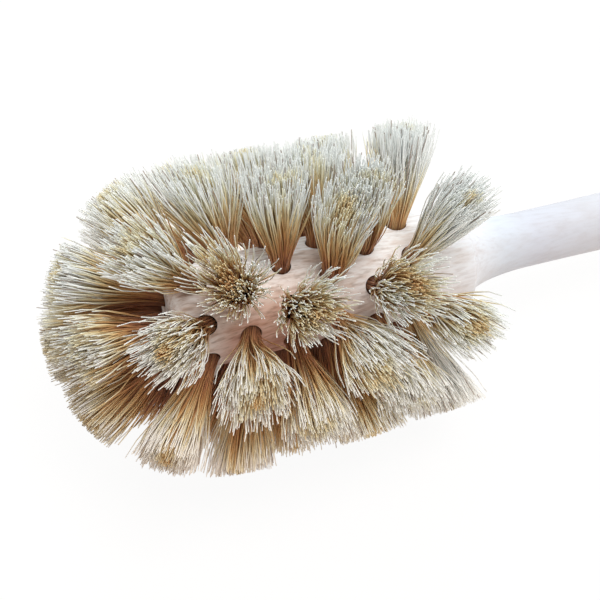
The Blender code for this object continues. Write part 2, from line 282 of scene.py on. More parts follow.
# Camera: how the brush's axis recedes and climbs across the picture, which side faces it
RECEDE_DEGREES = 15.14
CLIMB_DEGREES = 13.27
FACING_DEGREES = 58.0
CAMERA_RIGHT = 0.02591
CAMERA_UP = 0.00375
CAMERA_DISTANCE = 0.2818
CAMERA_LENS = 64.9
CAMERA_SENSOR = 36.0
CAMERA_CLIP = (0.01, 50.0)

# Floor: how far it goes, where the shade under the head lies and how far that reaches
FLOOR_REACH = 4.0
SHADE_MIDDLE = (-0.128, 0.034, 0.0)
SHADE_REACH = (0.062, 0.056, 1.0)
SHADE_EDGE = (0.7, 1.0)
GLOW_SHARE = 0.93
PAPER_COLOUR = (0.96, 0.90, 0.84, 1.0)

# Light: each lamp's place as shares of the camera's up, back and right; its power and colour
LAMP_DISTANCE = 0.9
LAMP_SIZE = 0.45
LAMPS = (("window", (0.50, 0.85, 0.24), 5.2, (0.98, 0.99, 1.0)),
         ("sky", (1.0, 0.05, -0.10), 3.6, (0.80, 0.93, 1.0)))
ROOM_LIGHT = 0.72
ROOM_COLOUR = (1.0, 0.965, 0.93, 1.0)
WHITE = (1.0, 1.0, 1.0, 1.0)

# Worked out from the sizes above
LAST_RING_X = (len(RING_LEAN_DEGREES) - 1) * RING_PITCH
SHOULDER_X = LAST_RING_X + SHOULDER_OVERHANG
NECK_X = SHOULDER_X + COVE_LENGTH
GRIP_X = NECK_X + SWELL_LENGTH
BUTT_X = GRIP_X + GRIP_LENGTH
NOSE_LEAN = math.radians(NOSE_LEAN_DEGREES)
NOSE_RING_RADIUS = 2 * HOLE_RADIUS + NOSE_HOLE_WALL + HOLE_DEPTH * math.sin(NOSE_LEAN)

# How the brush lies: the place and direction of its butt, from the part's record
butt = frame["record"]["mounts"][0]
TILT = math.atan2(-butt["axis"][2], butt["axis"][0])
LAY = (Matrix.Translation(butt["pos_m"]) @ Matrix.Rotation(TILT, 4, "Y")
       @ Matrix.Translation((-BUTT_X, 0.0, 0.0)))


# Node trees

def place(tree, kind, settings, inputs):
    """Adds a node; an input takes a value or the output socket that feeds it."""
    node = tree.nodes.new(kind)
    for name, value in settings.items():
        setattr(node, name, value)
    for name, value in inputs.items():
        if isinstance(value, bpy.types.NodeSocket):
            tree.links.new(value, node.inputs[name])
        else:
            node.inputs[name].default_value = value
    return node


def calc(tree, operation, *terms):
    """The result of a Math node."""
    settings = {"operation": operation}
    return place(tree, "ShaderNodeMath", settings, dict(enumerate(terms))).outputs[0]


def along_vectors(tree, operation, *terms):
    """The vector that a Vector Math node gives."""
    settings = {"operation": operation}
    return place(tree, "ShaderNodeVectorMath", settings, dict(enumerate(terms))).outputs["Vector"]


def measure(tree, operation, *terms):
    """The number that a Vector Math node gives."""
    settings = {"operation": operation}
    return place(tree, "ShaderNodeVectorMath", settings, dict(enumerate(terms))).outputs["Value"]


def scaled(tree, vector, factor):
    """A vector made longer or shorter."""
    settings = {"operation": "SCALE"}
    inputs = {0: vector, "Scale": factor}
    return place(tree, "ShaderNodeVectorMath", settings, inputs).outputs["Vector"]


def joined(tree, x, y, z):
    """A vector from three numbers."""
    return place(tree, "ShaderNodeCombineXYZ", {}, {0: x, 1: y, 2: z}).outputs[0]


def split(tree, vector):
    """A vector's three numbers, as outputs "X", "Y" and "Z"."""
    return place(tree, "ShaderNodeSeparateXYZ", {}, {0: vector}).outputs


def rescaled(tree, value, start, end, low=0.0, high=1.0, kind="LINEAR"):
    """A number that goes from start to end, as one that goes from low to high and stays there."""
    node = place(tree, "ShaderNodeMapRange", {"clamp": True, "interpolation_type": kind},
                 {"Value": value, "From Min": start, "From Max": end, "To Min": low,
                  "To Max": high})
    return node.outputs["Result"]


def geometry_tree(name, inputs):
    """A Geometry Nodes tree with these named inputs, and the node that gives them."""
    tree = bpy.data.node_groups.new(name, "GeometryNodeTree")
    tree.is_modifier = True
    for label, kind in inputs:
        tree.interface.new_socket(label, in_out="INPUT", socket_type="NodeSocket" + kind)
    tree.interface.new_socket("Geometry", in_out="OUTPUT", socket_type="NodeSocketGeometry")
    return tree, tree.nodes.new("NodeGroupInput").outputs


def close_tree(tree, geometry, material):
    """Ends a tree: real geometry, with its material."""
    real = place(tree, "GeometryNodeRealizeInstances", {}, {"Geometry": geometry})
    inputs = {"Geometry": real.outputs[0], "Material": material}
    finished = place(tree, "GeometryNodeSetMaterial", {}, inputs)
    place(tree, "NodeGroupOutput", {}, {"Geometry": finished.outputs[0]})


def mesh_from(tree, name, values):
    """Runs a tree with these input values and returns the result as a plain mesh."""
    holder = bpy.data.objects.new(name, bpy.data.meshes.new(name))
    bpy.context.scene.collection.objects.link(holder)
    modifier = holder.modifiers.new("shape", "NODES")
    modifier.node_group = tree
    for item in tree.interface.items_tree:
        if item.in_out == "INPUT" and item.name in values:
            modifier[item.identifier] = values[item.name]
    depsgraph = bpy.context.evaluated_depsgraph_get()
    mesh = bpy.data.meshes.new_from_object(holder.evaluated_get(depsgraph))
    empty = holder.data
    bpy.data.objects.remove(holder)
    bpy.data.meshes.remove(empty)
    mesh.name = name
    mesh.materials.clear()
    mesh.materials.append(values["Finish"])
    return mesh


def add_piece(name, mesh, slot, *nodes):
    """Adds a finished mesh that stands for these nodes of the part."""
    piece = bpy.data.objects.new(name, mesh)
    bpy.context.scene.collection.objects.link(piece)
    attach(piece, "root")
    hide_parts(*nodes)
    return piece


def corners(mesh):
    """The places of a mesh's points, in rows of x, y and z."""
    places = np.empty(len(mesh.vertices) * 3, np.float32)
    mesh.vertices.foreach_get("co", places)
    return places.reshape(-1, 3)


# Body

def arc(centre_x, centre_r, radius, start, end, steps):
    """Points of an arc in the (x, r) plane; an angle of 0 is toward +X and 90 off the axis."""
    points = []
    for step in range(steps + 1):
        angle = math.radians(start + (end - start) * step / steps)
        points.append((centre_x + radius * math.cos(angle), centre_r + radius * math.sin(angle)))
    return points


def ease(x_start, r_start, x_end, r_end, steps):
    """Points from one radius to another, level at both ends."""
    points = []
    for step in range(1, steps + 1):
        share = step / steps
        rise = (1 - math.cos(math.pi * share)) / 2
        points.append((x_start + (x_end - x_start) * share, r_start + (r_end - r_start) * rise))
    return points


def body_profile():
    """The turned outline from the nose to the butt, as (x, r) points."""
    points = [(-NOSE_OVERHANG, 0.0)]
    points += arc(NOSE_ROUNDING - NOSE_OVERHANG, HEAD_RADIUS - NOSE_ROUNDING, NOSE_ROUNDING,
                  180, 90, ROUNDING_STEPS)
    points += arc(SHOULDER_X - SHOULDER_ROUNDING, HEAD_RADIUS - SHOULDER_ROUNDING,
                  SHOULDER_ROUNDING, 90, 0, ROUNDING_STEPS)
    drop = HEAD_RADIUS - SHOULDER_ROUNDING - NECK_RADIUS
    for step in range(1, COVE_STEPS + 1):
        angle = math.pi / 2 * step / COVE_STEPS
        points.append((SHOULDER_X + COVE_LENGTH * (1 - math.cos(angle)),
                       NECK_RADIUS + drop * (1 - math.sin(angle))))
    points += ease(NECK_X, NECK_RADIUS, GRIP_X, GRIP_RADIUS, SWELL_STEPS)
    points += ease(GRIP_X, GRIP_RADIUS, BUTT_X - BUTT_ROUNDING, BUTT_RADIUS, GRIP_STEPS)
    points += arc(BUTT_X - BUTT_ROUNDING, BUTT_RADIUS - BUTT_ROUNDING, BUTT_ROUNDING,
                  90, 0, ROUNDING_STEPS)[1:]
    points.append((BUTT_X, 0.0))
    return points


def nose_x_at(radius):
    """How far along the axis the rounded nose lies at this distance from it."""
    rounding_centre = HEAD_RADIUS - NOSE_ROUNDING
    beyond = max(0.0, radius - rounding_centre)
    return NOSE_ROUNDING - NOSE_OVERHANG - math.sqrt(NOSE_ROUNDING ** 2 - beyond ** 2)


def mouth_frames():
    """Each hole's name and frame: its mouth on the wood, with +Z out of the hole."""
    scatter = random.Random(SCATTER_SEED)
    frames = []
    for ring, lean in enumerate(RING_LEAN_DEGREES):
        turn_of_ring = ring % 2 * RING_TURN
        for tuft in range(TUFTS_PER_RING):
            around = 2 * math.pi * (tuft + turn_of_ring) / TUFTS_PER_RING
            tip = math.radians(lean + scatter.uniform(-SCATTER_DEGREES, SCATTER_DEGREES))
            sway = math.radians(scatter.uniform(-SCATTER_DEGREES, SCATTER_DEGREES))
            frames.append((f"ring_{ring + 1}_tuft_{tuft + 1}",
                           Matrix.Rotation(around, 4, "X")
                           @ Matrix.Translation((ring * RING_PITCH, 0.0, -HEAD_RADIUS))
                           @ Matrix.Rotation(sway, 4, "X")
                           @ Matrix.Rotation(math.pi - tip, 4, "Y")))
    for tuft in range(NOSE_TUFTS):
        around = 2 * math.pi * tuft / NOSE_TUFTS + math.radians(NOSE_TURN_DEGREES)
        frames.append((f"nose_tuft_{tuft + 1}",
                       Matrix.Rotation(around, 4, "X")
                       @ Matrix.Translation((nose_x_at(NOSE_RING_RADIUS), 0.0, -NOSE_RING_RADIUS))
                       @ Matrix.Rotation(-math.pi / 2 - NOSE_LEAN, 4, "Y")))
    frames.append(("nose_tuft_centre",
                   Matrix.Translation((-NOSE_OVERHANG, 0.0, 0.0))
                   @ Matrix.Rotation(-math.pi / 2, 4, "Y")))
    return frames


def guide(name, places, aims=()):
    """A hidden object of loose points, with the way that each one faces, for a tree to read."""
    mesh = bpy.data.meshes.new(name)
    mesh.from_pydata(places, [], [])
    if aims:
        mesh.attributes.new("aim", "FLOAT_VECTOR", "POINT")
        mesh.attributes["aim"].data.foreach_set("vector", np.array(aims, np.float32).ravel())
    holder = bpy.data.objects.new(name, mesh)
    bpy.context.scene.collection.objects.link(holder)
    return holder


def turning_tree():
    """Turns an outline into a body of revolution and drills a hole at each mouth."""
    tree, given = geometry_tree("turned and drilled body", [
        ("Outline", "Object"), ("Mouths", "Object"), ("Sides", "Int"), ("Hole Sides", "Int"),
        ("Hole Radius", "Float"), ("Hole Depth", "Float"), ("Overrun", "Float"),
        ("Finish", "Material")])
    outline = place(tree, "GeometryNodeObjectInfo", {}, {"Object": given["Outline"]})
    count = place(tree, "GeometryNodeAttributeDomainSize", {"component": "MESH"},
                  {"Geometry": outline.outputs["Geometry"]}).outputs["Point Count"]
    columns = calc(tree, "ADD", given["Sides"], 1.0)
    grid = place(tree, "GeometryNodeMeshGrid", {}, {"Vertices X": count, "Vertices Y": columns})
    index = tree.nodes.new("GeometryNodeInputIndex").outputs[0]
    station = calc(tree, "FLOOR", calc(tree, "DIVIDE", calc(tree, "ADD", index, 0.5), columns))
    side = calc(tree, "SUBTRACT", index, calc(tree, "MULTIPLY", station, columns))
    place_of = tree.nodes.new("GeometryNodeInputPosition").outputs[0]
    point = place(tree, "GeometryNodeSampleIndex", {"data_type": "FLOAT_VECTOR"},
                  {"Geometry": outline.outputs["Geometry"], "Value": place_of, "Index": station})
    at = split(tree, point.outputs["Value"])
    angle = calc(tree, "DIVIDE", calc(tree, "MULTIPLY", side, 2 * math.pi), given["Sides"])
    turned = joined(tree, at["X"], calc(tree, "MULTIPLY", at["Z"], calc(tree, "SINE", angle)),
                    calc(tree, "MULTIPLY", at["Z"], calc(tree, "COSINE", angle)))
    skin = place(tree, "GeometryNodeSetPosition", {},
                 {"Geometry": grid.outputs["Mesh"], "Position": turned})
    closed = place(tree, "GeometryNodeMergeByDistance", {},
                   {"Geometry": skin.outputs[0], "Distance": WELD_DISTANCE})
    length = calc(tree, "ADD", given["Hole Depth"], given["Overrun"])
    drill = place(tree, "GeometryNodeMeshCylinder", {"fill_type": "NGON"},
                  {"Vertices": given["Hole Sides"], "Radius": given["Hole Radius"],
                   "Depth": length})
    middle = calc(tree, "DIVIDE", calc(tree, "SUBTRACT", given["Overrun"], given["Hole Depth"]),
                  2.0)
    lowered = place(tree, "GeometryNodeTransform", {},
                    {"Geometry": drill.outputs["Mesh"],
                     "Translation": joined(tree, 0.0, 0.0, middle)})
    mouths = place(tree, "GeometryNodeObjectInfo", {}, {"Object": given["Mouths"]})
    aim = place(tree, "GeometryNodeInputNamedAttribute", {"data_type": "FLOAT_VECTOR"},
                {"Name": "aim"})
    facing = place(tree, "FunctionNodeAlignRotationToVector", {"axis": "Z"},
                   {"Vector": aim.outputs["Attribute"]})
    drills = place(tree, "GeometryNodeInstanceOnPoints", {},
                   {"Points": mouths.outputs["Geometry"], "Instance": lowered.outputs[0],
                    "Rotation": facing.outputs[0]})
    cutters = place(tree, "GeometryNodeRealizeInstances", {}, {"Geometry": drills.outputs[0]})
    drilled = place(tree, "GeometryNodeMeshBoolean",
                    {"operation": "DIFFERENCE", "solver": "EXACT"},
                    {"Mesh 1": closed.outputs["Geometry"], "Mesh 2": cutters.outputs[0]})
    close_tree(tree, drilled.outputs["Mesh"], given["Finish"])
    return tree


def make_body(frames, finish):
    """The turned body with every hole drilled in it."""
    profile = body_profile()
    outline = guide("outline", [(x, 0.0, r) for x, r in profile])
    tree = turning_tree()
    mouths = guide("mouths", [pose.translation for name, pose in frames],
                   [pose.col[2].to_3d() for name, pose in frames])
    mesh = mesh_from(tree, "brush_body_turned", {
        "Outline": outline, "Mouths": mouths, "Sides": BODY_SIDES, "Hole Sides": HOLE_SIDES,
        "Hole Radius": HOLE_RADIUS, "Hole Depth": HOLE_DEPTH, "Overrun": CUT_OVERRUN,
        "Finish": finish})
    for holder in (outline, mouths):
        bpy.data.objects.remove(holder)
    mark_depth(mesh, profile)
    for polygon in mesh.polygons:
        polygon.use_smooth = True
    mesh.set_sharp_from_angle(angle=math.radians(SHARP_DEGREES))
    mesh.transform(LAY)
    return add_piece("brush_body_turned", mesh, "beech", "brush_body")


def mark_depth(mesh, profile):
    """Stores how deep each point lies under the turned surface, so that painted shade can darken
    the holes.
    """
    stations = np.array([x for x, r in profile])
    radii = np.array([r for x, r in profile])
    points = corners(mesh)
    off_axis = np.hypot(points[:, 1], points[:, 2])
    under_side = np.interp(points[:, 0], stations, radii) - off_axis
    behind_nose = points[:, 0] + NOSE_OVERHANG
    depth = np.minimum(under_side, behind_nose).clip(0.0)
    mesh.attributes.new("depth", "FLOAT", "POINT")
    mesh.attributes["depth"].data.foreach_set("value", depth.astype(np.float32))


# Tufts

def tuft_tree():
    """A tuft of bristles that leaves a hole, fans out and is trimmed to the brush's round."""
    tree, given = geometry_tree("bristle tuft", [
        ("Bristles", "Int"), ("Seed", "Int"), ("Root Radius", "Float"), ("Fan Radius", "Float"),
        ("Core Power", "Float"), ("Neck Share", "Float"), ("Wander", "Float"), ("Drift", "Float"),
        ("Sink", "Float"), ("Length", "Float"), ("Bristle Radius", "Float"),
        ("Bristle Sides", "Int"), ("Bristle Points", "Int"), ("Unevenness", "Float"),
        ("Bow", "Float"), ("Clump Share", "Float"), ("Clumps Across", "Float"),
        ("Stray Share", "Float"), ("Pale Rim", "Float"), ("Golden Share", "Float"),
        ("Tone And Painted Light", "Float"), ("Press", "Vector"), ("Sweep", "Vector"), ("Location", "Vector"),
        ("Rotation", "Rotation"), ("Trim Radius", "Float"), ("Trim Setback", "Float"),
        ("Finish", "Material")])

    def draw(what):
        """A random number for each bristle."""
        number, least, most = CHANCES[what]
        seed = calc(tree, "ADD", given["Seed"], float(number))
        node = place(tree, "FunctionNodeRandomValue", {"data_type": "FLOAT"},
                     {2: least, 3: most, "Seed": seed})
        return node.outputs[1]

    # Roots lie on a sunflower spiral that fills the hole
    index = tree.nodes.new("GeometryNodeInputIndex").outputs[0]
    share = calc(tree, "DIVIDE", calc(tree, "ADD", index, 0.5), given["Bristles"])
    off_centre = calc(tree, "SQRT", share)
    angle = calc(tree, "ADD", calc(tree, "MULTIPLY", index, GOLDEN_ANGLE), draw("turn"))
    disc = joined(tree, calc(tree, "MULTIPLY", calc(tree, "COSINE", angle), off_centre),
                  calc(tree, "MULTIPLY", calc(tree, "SINE", angle), off_centre), 0.0)
    root = scaled(tree, disc, given["Root Radius"])

    # Tips spread like the roots, wander a little and gather in clumps
    apart = joined(tree, calc(tree, "MULTIPLY", given["Seed"], NOISE_STRIDE), 0.0, 0.0)
    noise_at = along_vectors(tree, "ADD", disc, apart)
    drift = place(tree, "ShaderNodeTexNoise", {}, {"Vector": noise_at, "Scale": DRIFT_SCALE})
    drift = along_vectors(tree, "SUBTRACT", drift.outputs["Color"], (NOISE_MIDDLE,) * 3)
    drift = scaled(tree, drift, given["Drift"])
    wander = joined(tree, draw("wander x"), draw("wander y"), 0.0)
    wander = scaled(tree, wander, given["Wander"])
    loose = along_vectors(tree, "ADD", wander, drift)
    cells = place(tree, "ShaderNodeTexVoronoi", {},
                  {"Vector": noise_at, "Scale": given["Clumps Across"]})
    gathered = along_vectors(tree, "SUBTRACT", cells.outputs["Position"], apart)
    pull = along_vectors(tree, "SUBTRACT", gathered, disc)
    pull = scaled(tree, pull, given["Clump Share"])
    flare = calc(tree, "POWER", off_centre, given["Core Power"])
    clumped = scaled(tree, along_vectors(tree, "ADD", disc, pull), flare)
    spread = along_vectors(tree, "ADD", clumped, loose)
    is_stray = calc(tree, "LESS_THAN", draw("strays"), given["Stray Share"])
    stray = calc(tree, "ADD", 1.0, calc(tree, "MULTIPLY", is_stray, draw("how far astray")))
    fan = scaled(tree, spread, calc(tree, "MULTIPLY", given["Fan Radius"], stray))
    flat_fan = along_vectors(tree, "MULTIPLY", fan, (1.0, 1.0, 0.0))

    # The side that was pressed goes further out, and a bent tuft leans over as a whole
    pressed = measure(tree, "DOT_PRODUCT", disc, along_vectors(tree, "NORMALIZE", given["Press"]))
    pressed = scaled(tree, given["Press"], calc(tree, "MAXIMUM", pressed, 0.0))
    flat_fan = along_vectors(tree, "ADD", flat_fan, pressed)
    reach = along_vectors(tree, "ADD", flat_fan, given["Sweep"])

    # Each bristle's length is stepped toward the round that the brush is trimmed to
    setback = joined(tree, given["Trim Setback"], 0.0, 0.0)
    straight_out = place(tree, "FunctionNodeRotateVector", {},
                         {"Vector": (0.0, 0.0, 1.0), "Rotation": given["Rotation"]}).outputs[0]
    trim = calc(tree, "ADD", given["Trim Radius"],
                calc(tree, "MULTIPLY", given["Unevenness"], draw("trim")))
    length = given["Length"]
    for _ in range(TRIM_STEPS):
        tip = along_vectors(tree, "ADD", reach, joined(tree, 0.0, 0.0, length))
        tip = place(tree, "FunctionNodeRotateVector", {},
                    {"Vector": tip, "Rotation": given["Rotation"]}).outputs[0]
        tip = along_vectors(tree, "ADD", tip, given["Location"])
        beyond = split(tree, along_vectors(tree, "SUBTRACT", tip, setback))
        ahead = calc(tree, "MINIMUM", beyond["X"], 0.0)
        outward = joined(tree, ahead, beyond["Y"], beyond["Z"])
        excess = calc(tree, "SUBTRACT", measure(tree, "LENGTH", outward), trim)
        slope = measure(tree, "DOT_PRODUCT", along_vectors(tree, "NORMALIZE", outward),
                        straight_out)
        slope = calc(tree, "MAXIMUM", slope, LEAST_SLOPE)
        length = calc(tree, "SUBTRACT", length, calc(tree, "DIVIDE", excess, slope))
    short = calc(tree, "LESS_THAN", draw("short"), SHORT_SHARE)
    cut = calc(tree, "SUBTRACT", 1.0, calc(tree, "MULTIPLY", short, draw("how short")))
    length = calc(tree, "MULTIPLY", length, cut)

    # Pale bristles lie mostly side by side
    patches = place(tree, "ShaderNodeTexNoise", {},
                    {"Vector": along_vectors(tree, "ADD", noise_at, PATCH_OFFSET),
                     "Scale": PATCH_SCALE, "Detail": PATCH_DETAIL}).outputs["Fac"]
    patches = calc(tree, "MULTIPLY", calc(tree, "SUBTRACT", patches, NOISE_MIDDLE),
                   PATCH_STRENGTH)
    outer = calc(tree, "SUBTRACT", off_centre, given["Golden Share"])
    paler = calc(tree, "ADD", patches, calc(tree, "MULTIPLY", outer, given["Pale Rim"]))
    # A bristle's own paleness, with its tuft's tone and painted light and shade
    paleness = calc(tree, "ADD", draw("paleness"), given["Tone And Painted Light"])

    # What each bristle keeps for its shape and its colour
    points = place(tree, "GeometryNodePoints", {}, {"Count": given["Bristles"]}).outputs[0]
    bow = joined(tree, draw("bow x"), draw("bow y"), 0.0)
    bow = scaled(tree, bow, given["Bow"])
    kept = (("root", "FLOAT_VECTOR", root), ("reach", "FLOAT_VECTOR", reach),
            ("bow", "FLOAT_VECTOR", bow), ("length", "FLOAT", length),
            ("girth", "FLOAT", draw("girth")), ("roll", "FLOAT", draw("roll")),
            ("paleness", "FLOAT", paleness), ("paler", "FLOAT", paler),
            ("kind", "FLOAT", draw("kind")))
    for name, data_type, value in kept:
        points = place(tree, "GeometryNodeStoreNamedAttribute",
                       {"data_type": data_type, "domain": "POINT"},
                       {"Geometry": points, "Name": name, "Value": value}).outputs[0]

    def recall(name, data_type):
        """What a bristle kept."""
        return place(tree, "GeometryNodeInputNamedAttribute", {"data_type": data_type},
                     {"Name": name}).outputs["Attribute"]

    # A straight line becomes each bristle's own bend
    line = place(tree, "GeometryNodeCurvePrimitiveLine", {}, {"Start": (0.0, 0.0, 0.0),
                                                              "End": (0.0, 0.0, 1.0)})
    line = place(tree, "GeometryNodeResampleCurve", {},
                 {"Curve": line.outputs[0], "Count": given["Bristle Points"]})
    lines = place(tree, "GeometryNodeInstanceOnPoints", {},
                  {"Points": points, "Instance": line.outputs[0]})
    lines = place(tree, "GeometryNodeRealizeInstances", {}, {"Geometry": lines.outputs[0]})
    travel = tree.nodes.new("GeometryNodeSplineParameter").outputs["Factor"]
    own_length = recall("length", "FLOAT")
    height = calc(tree, "SUBTRACT",
                  calc(tree, "MULTIPLY", travel, calc(tree, "ADD", own_length, given["Sink"])),
                  given["Sink"])
    along = calc(tree, "MAXIMUM", calc(tree, "DIVIDE", height, own_length), 0.0)
    lines = place(tree, "GeometryNodeStoreNamedAttribute",
                  {"data_type": "FLOAT", "domain": "POINT"},
                  {"Geometry": lines.outputs[0], "Name": "along", "Value": along})
    opening = rescaled(tree, along, given["Neck Share"],
                       calc(tree, "ADD", 1.0, given["Neck Share"]), kind="SMOOTHSTEP")
    bulge = calc(tree, "SINE", calc(tree, "MULTIPLY", along, math.pi))
    bend = along_vectors(tree, "ADD", recall("root", "FLOAT_VECTOR"),
                         scaled(tree, recall("reach", "FLOAT_VECTOR"), opening))
    bend = along_vectors(tree, "ADD", bend, scaled(tree, recall("bow", "FLOAT_VECTOR"), bulge))
    bend = along_vectors(tree, "ADD", bend, joined(tree, 0.0, 0.0, height))
    bent = place(tree, "GeometryNodeSetPosition", {},
                 {"Geometry": lines.outputs[0], "Position": bend})
    full = calc(tree, "ADD", TIP_GIRTH, calc(tree, "MULTIPLY", bulge, MIDDLE_GIRTH))
    girth = calc(tree, "MULTIPLY", recall("girth", "FLOAT"), full)
    section = place(tree, "GeometryNodeCurvePrimitiveCircle", {},
                    {"Resolution": given["Bristle Sides"], "Radius": given["Bristle Radius"]})
    rolled = place(tree, "GeometryNodeSetCurveTilt", {},
                   {"Curve": bent.outputs[0], "Tilt": recall("roll", "FLOAT")})
    hair = place(tree, "GeometryNodeCurveToMesh", {},
                 {"Curve": rolled.outputs[0], "Profile Curve": section.outputs[0],
                  "Scale": girth, "Fill Caps": True})
    geometry = hair.outputs[0]
    for name in ("root", "reach", "bow", "length", "girth", "roll"):
        geometry = place(tree, "GeometryNodeRemoveAttribute", {},
                         {"Geometry": geometry, "Name": name}).outputs[0]
    placed = place(tree, "GeometryNodeTransform", {},
                   {"Geometry": geometry, "Translation": given["Location"],
                    "Rotation": given["Rotation"]})
    close_tree(tree, placed.outputs[0], given["Finish"])
    return tree


def make_tuft(name, pose, tree, seed, finish):
    """One hole's tuft of bristles."""
    height = TRIM_RADIUS - HEAD_RADIUS
    lean, turn = (math.radians(bend) for bend in BENT_DEGREES.get(name, (0, 0)))
    press_x, press_y = (part / 1000 for part in PRESSED_MM.get(name, (0, 0)))
    own = random.Random(seed)
    opening = OPENED.get(name, own.uniform(*OPENING_CHANCE))
    out = LAY.to_3x3() @ pose.col[2].to_3d()
    # A tuft's own tone, with painted light on tufts that point over the upper back and browner
    # painted shade on tufts that point down
    tone_and_painted_light = TUFT_TONE_AND_PAINTED_LIGHT.get(name, TONE_SPREAD * own.uniform(-1.0, 1.0))
    tone_and_painted_light += PAINTED_LIGHT_BACK * out.y + PAINTED_SHADE_BELOW * min(out.z, 0.0)
    mesh = mesh_from(tree, name + "_bristles", {
        "Bristles": BRISTLES, "Seed": seed, "Root Radius": HOLE_RADIUS - ROOT_CLEARANCE,
        "Fan Radius": FAN_RADIUS * opening, "Core Power": DENSER_CORE.get(name, CORE_POWER),
        "Neck Share": NECK_SHARE, "Wander": FAN_WANDER, "Drift": FAN_DRIFT,
        "Sink": BRISTLE_SINK, "Length": height, "Bristle Radius": BRISTLE_RADIUS,
        "Bristle Sides": BRISTLE_SIDES, "Bristle Points": BRISTLE_POINTS,
        "Unevenness": TRIM_UNEVENNESS, "Bow": BOW, "Clump Share": CLUMP_SHARE,
        "Clumps Across": CLUMPS_ACROSS, "Stray Share": STRAY_SHARE,
        "Pale Rim": RIM_PALER.get(name, PALE_RIM),
        "Golden Share": MORE_GOLDEN.get(name, GOLDEN_SHARE), "Tone And Painted Light": tone_and_painted_light,
        "Press": (press_x, press_y, 0.0),
        "Sweep": (-height * math.tan(lean), -height * math.tan(turn), 0.0),
        "Location": tuple(pose.translation), "Rotation": tuple(pose.to_euler()),
        "Trim Radius": TRIM_RADIUS + LONGER_MM.get(name, 0.0) / 1000,
        "Trim Setback": TRIM_CENTRE_SETBACK, "Finish": finish})
    mesh.transform(LAY)
    points = corners(mesh)
    points[:, 2] = points[:, 2].clip(FLOOR_CLEARANCE)
    mesh.vertices.foreach_set("co", points.ravel())
    mesh.update()
    return add_piece(name + "_bristles", mesh, "bristle", name)


# Finishes

def new_finish(name):
    """A material with an empty tree, and its shader joined to the output."""
    finish = bpy.data.materials.new(name)
    finish.use_nodes = True
    tree = finish.node_tree
    tree.nodes.clear()
    shader = tree.nodes.new("ShaderNodeBsdfPrincipled")
    place(tree, "ShaderNodeOutputMaterial", {}, {"Surface": shader.outputs[0]})
    return finish, tree, shader


def ramp(tree, factor, stops):
    """A colour ramp over these stops: a place, and a colour or one number for a grey."""
    node = place(tree, "ShaderNodeValToRGB", {}, {"Fac": factor})
    elements = node.color_ramp.elements
    while len(elements) < len(stops):
        elements.new(1.0)
    for element, (at, colour) in zip(elements, stops):
        red, green, blue = colour if isinstance(colour, tuple) else (colour,) * 3
        element.position = at
        element.color = (red, green, blue, 1.0)
    return node.outputs["Color"]


def blended(tree, kind, factor, under, over):
    """One colour laid over another."""
    node = place(tree, "ShaderNodeMix", {"data_type": "RGBA", "blend_type": kind},
                 {0: factor, 6: under, 7: over})
    return node.outputs[2]


def stored(tree, name):
    """A number that the mesh keeps for each of its points."""
    return place(tree, "ShaderNodeAttribute", {"attribute_name": name}, {}).outputs["Fac"]


def to_one_side(tree, where, share_y, share_z, radius):
    """How far to one side a place on the brush lies, at most about one at this radius."""
    return calc(tree, "ADD", calc(tree, "MULTIPLY", where["Y"], share_y / radius),
                calc(tree, "MULTIPLY", where["Z"], share_z / radius))


def on_the_brush(tree):
    """Places in the brush's own frame: X along its axis, and zero in the first ring of holes."""
    where = tree.nodes.new("ShaderNodeTexCoord").outputs["Object"]
    return place(tree, "ShaderNodeMapping", {"vector_type": "POINT"},
                 {"Vector": where, "Location": LAY.inverted().translation,
                  "Rotation": (0.0, -TILT, 0.0)}).outputs[0]


